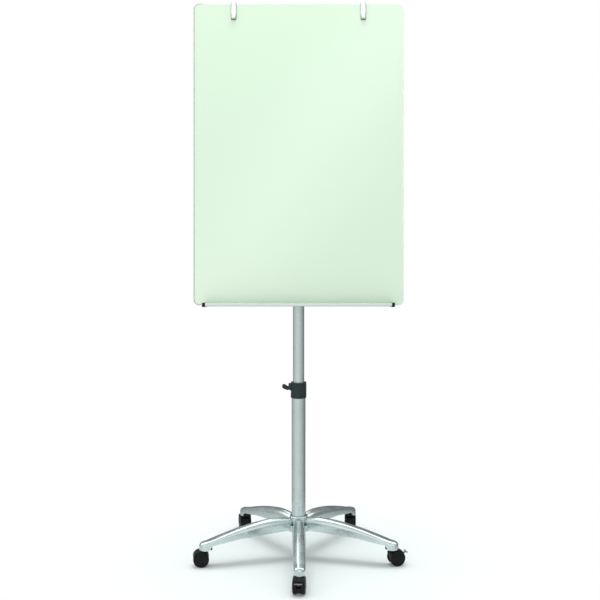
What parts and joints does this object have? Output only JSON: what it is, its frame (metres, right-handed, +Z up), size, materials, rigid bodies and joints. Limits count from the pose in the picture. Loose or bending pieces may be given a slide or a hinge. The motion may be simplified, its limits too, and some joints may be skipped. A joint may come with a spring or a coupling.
{
  "type": "flip chart easel",
  "caption": "Mobile easel: upright glass writing board with paper hooks and a marker tray, on a clamped telescoping post and a star base with swivel casters.",
  "frame": {"origin": "on the floor, under the middle of the bounding box", "axes": "+Z up; the board's writing face looks towards -Y; +X to the right of someone facing it"},
  "size_m": [0.6702, 0.6416, 1.7281],
  "materials": {
    "glass": "polished toughened glass, pale green",
    "white_enamel": "white enamelled sheet steel",
    "chrome": "chromed spring steel",
    "rubber": "matt black rubber",
    "anodised_aluminium": "satin anodised extrusion",
    "satin_tube": "satin silver tube",
    "grey_casting": "grey powder coat over a casting",
    "zinc_steel": "zinc-plated steel",
    "polished_casting": "polished die-cast aluminium",
    "black_plastic": "satin black nylon",
    "wheel_plastic": "black nylon with a satin tread"
  },
  "bodies": {
    "base": {"star_base": "polished_casting", "hub_bolt": "zinc_steel", "lower_tube": "satin_tube", "tube_plug": "zinc_steel", "clamp_collar": "black_plastic", "clamp_shoe": "rubber", "clamp_pin": "zinc_steel", "caster_front_socket": "black_plastic", "caster_right_socket": "black_plastic", "caster_rear_right_socket": "black_plastic", "caster_rear_left_socket": "black_plastic", "caster_left_socket": "black_plastic"},
    "mast": {"upper_tube": "satin_tube", "guide_bush": "black_plastic", "tube_cap": "black_plastic", "saddle_lower": "grey_casting", "saddle_middle": "grey_casting", "saddle_screw_lower": "zinc_steel", "saddle_screw_middle": "zinc_steel", "rail_lower": "white_enamel", "rail_middle": "white_enamel", "rail_upper": "white_enamel", "steel_back": "white_enamel", "glass_panel": "glass", "marker_tray": "anodised_aluminium", "tray_cap_left": "black_plastic", "tray_cap_right": "black_plastic"},
    "left_hook": {"hook_left": "chrome", "hook_liner_left": "rubber"},
    "right_hook": {"hook_right": "chrome", "hook_liner_right": "rubber"},
    "lever": {"clamp_lever": "black_plastic"},
    "front_caster": {"caster_front_hood": "black_plastic", "caster_front_stem": "zinc_steel", "caster_front_axle": "zinc_steel"},
    "front_wheel_a": {"caster_front_wheel_a": "wheel_plastic"},
    "front_wheel_b": {"caster_front_wheel_b": "wheel_plastic"},
    "front_brake": {"caster_front_pedal": "black_plastic"},
    "right_caster": {"caster_right_hood": "black_plastic", "caster_right_stem": "zinc_steel", "caster_right_axle": "zinc_steel"},
    "right_wheel_a": {"caster_right_wheel_a": "wheel_plastic"},
    "right_wheel_b": {"caster_right_wheel_b": "wheel_plastic"},
    "right_brake": {"caster_right_pedal": "black_plastic"},
    "rear_right_caster": {"caster_rear_right_hood": "black_plastic", "caster_rear_right_stem": "zinc_steel", "caster_rear_right_axle": "zinc_steel"},
    "rear_right_wheel_a": {"caster_rear_right_wheel_a": "wheel_plastic"},
    "rear_right_wheel_b": {"caster_rear_right_wheel_b": "wheel_plastic"},
    "rear_left_caster": {"caster_rear_left_hood": "black_plastic", "caster_rear_left_stem": "zinc_steel", "caster_rear_left_axle": "zinc_steel"},
    "rear_left_wheel_a": {"caster_rear_left_wheel_a": "wheel_plastic"},
    "rear_left_wheel_b": {"caster_rear_left_wheel_b": "wheel_plastic"},
    "left_caster": {"caster_left_hood": "black_plastic", "caster_left_stem": "zinc_steel", "caster_left_axle": "zinc_steel"},
    "left_wheel_a": {"caster_left_wheel_a": "wheel_plastic"},
    "left_wheel_b": {"caster_left_wheel_b": "wheel_plastic"}
  },
  "joints": [
    {"name": "mast_height", "type": "slide", "parent": "base", "child": "mast", "axis": [0, 0, 1], "range_m": [-0.105, 0.205]},
    {"name": "lever_clamp", "type": "hinge", "parent": "base", "child": "lever", "pos_m": [-0.0321, 0.0334, 0.544], "axis": [0, -1, 0], "range_deg": [0, 65]},
    {"name": "left_hook_slide", "type": "slide", "parent": "mast", "child": "left_hook", "axis": [1, 0, 0], "range_m": [-0.08, 0.08]},
    {"name": "right_hook_slide", "type": "slide", "parent": "mast", "child": "right_hook", "axis": [1, 0, 0], "range_m": [-0.08, 0.08]},
    {"name": "front_swivel", "type": "hinge", "parent": "base", "child": "front_caster", "pos_m": [-0.00239, -0.27308, 0.055], "axis": [0, 0, 1], "continuous": true},
    {"name": "front_wheel_a_spin", "type": "hinge", "parent": "front_caster", "child": "front_wheel_a", "pos_m": [-0.00357, -0.28553, 0.0245], "axis": [0.9956, -0.0941, 0], "continuous": true},
    {"name": "front_wheel_b_spin", "type": "hinge", "parent": "front_caster", "child": "front_wheel_b", "pos_m": [-0.00357, -0.28553, 0.0245], "axis": [0.9956, -0.0941, 0], "continuous": true},
    {"name": "front_brake_press", "type": "hinge", "parent": "front_caster", "child": "front_brake", "pos_m": [-0.00493, -0.29994, 0.03058], "axis": [0.9956, -0.0941, 0], "range_deg": [0, 18]},
    {"name": "right_swivel", "type": "hinge", "parent": "base", "child": "right_caster", "pos_m": [0.28687, -0.05826, 0.055], "axis": [0, 0, 1], "continuous": true},
    {"name": "right_wheel_a_spin", "type": "hinge", "parent": "right_caster", "child": "right_wheel_a", "pos_m": [0.29879, -0.05448, 0.0245], "axis": [-0.3024, 0.9532, 0], "continuous": true},
    {"name": "right_wheel_b_spin", "type": "hinge", "parent": "right_caster", "child": "right_wheel_b", "pos_m": [0.29879, -0.05448, 0.0245], "axis": [-0.3024, 0.9532, 0], "continuous": true},
    {"name": "right_brake_press", "type": "hinge", "parent": "right_caster", "child": "right_brake", "pos_m": [0.31259, -0.0501, 0.03058], "axis": [-0.3024, 0.9532, 0], "range_deg": [0, 18]},
    {"name": "rear_right_swivel", "type": "hinge", "parent": "base", "child": "rear_right_caster", "pos_m": [0.17195, 0.28324, 0.055], "axis": [0, 0, 1], "continuous": true},
    {"name": "rear_right_wheel_a_spin", "type": "hinge", "parent": "rear_right_caster", "child": "rear_right_wheel_a", "pos_m": [0.17225, 0.29573, 0.0245], "axis": [-0.9997, 0.0244, 0], "continuous": true},
    {"name": "rear_right_wheel_b_spin", "type": "hinge", "parent": "rear_right_caster", "child": "rear_right_wheel_b", "pos_m": [0.17225, 0.29573, 0.0245], "axis": [-0.9997, 0.0244, 0], "continuous": true},
    {"name": "rear_left_swivel", "type": "hinge", "parent": "base", "child": "rear_left_caster", "pos_m": [-0.18834, 0.27946, 0.055], "axis": [0, 0, 1], "continuous": true},
    {"name": "rear_left_wheel_a_spin", "type": "hinge", "parent": "rear_left_caster", "child": "rear_left_wheel_a", "pos_m": [-0.19128, 0.29161, 0.0245], "axis": [-0.972, -0.2351, 0], "continuous": true},
    {"name": "rear_left_wheel_b_spin", "type": "hinge", "parent": "rear_left_caster", "child": "rear_left_wheel_b", "pos_m": [-0.19128, 0.29161, 0.0245], "axis": [-0.972, -0.2351, 0], "continuous": true},
    {"name": "left_swivel", "type": "hinge", "parent": "base", "child": "left_caster", "pos_m": [-0.29609, -0.06436, 0.055], "axis": [0, 0, 1], "continuous": true},
    {"name": "left_wheel_a_spin", "type": "hinge", "parent": "left_caster", "child": "left_wheel_a", "pos_m": [-0.30851, -0.0658, 0.0245], "axis": [0.1149, -0.9934, 0], "continuous": true},
    {"name": "left_wheel_b_spin", "type": "hinge", "parent": "left_caster", "child": "left_wheel_b", "pos_m": [-0.30851, -0.0658, 0.0245], "axis": [0.1149, -0.9934, 0], "continuous": true}
  ]
}
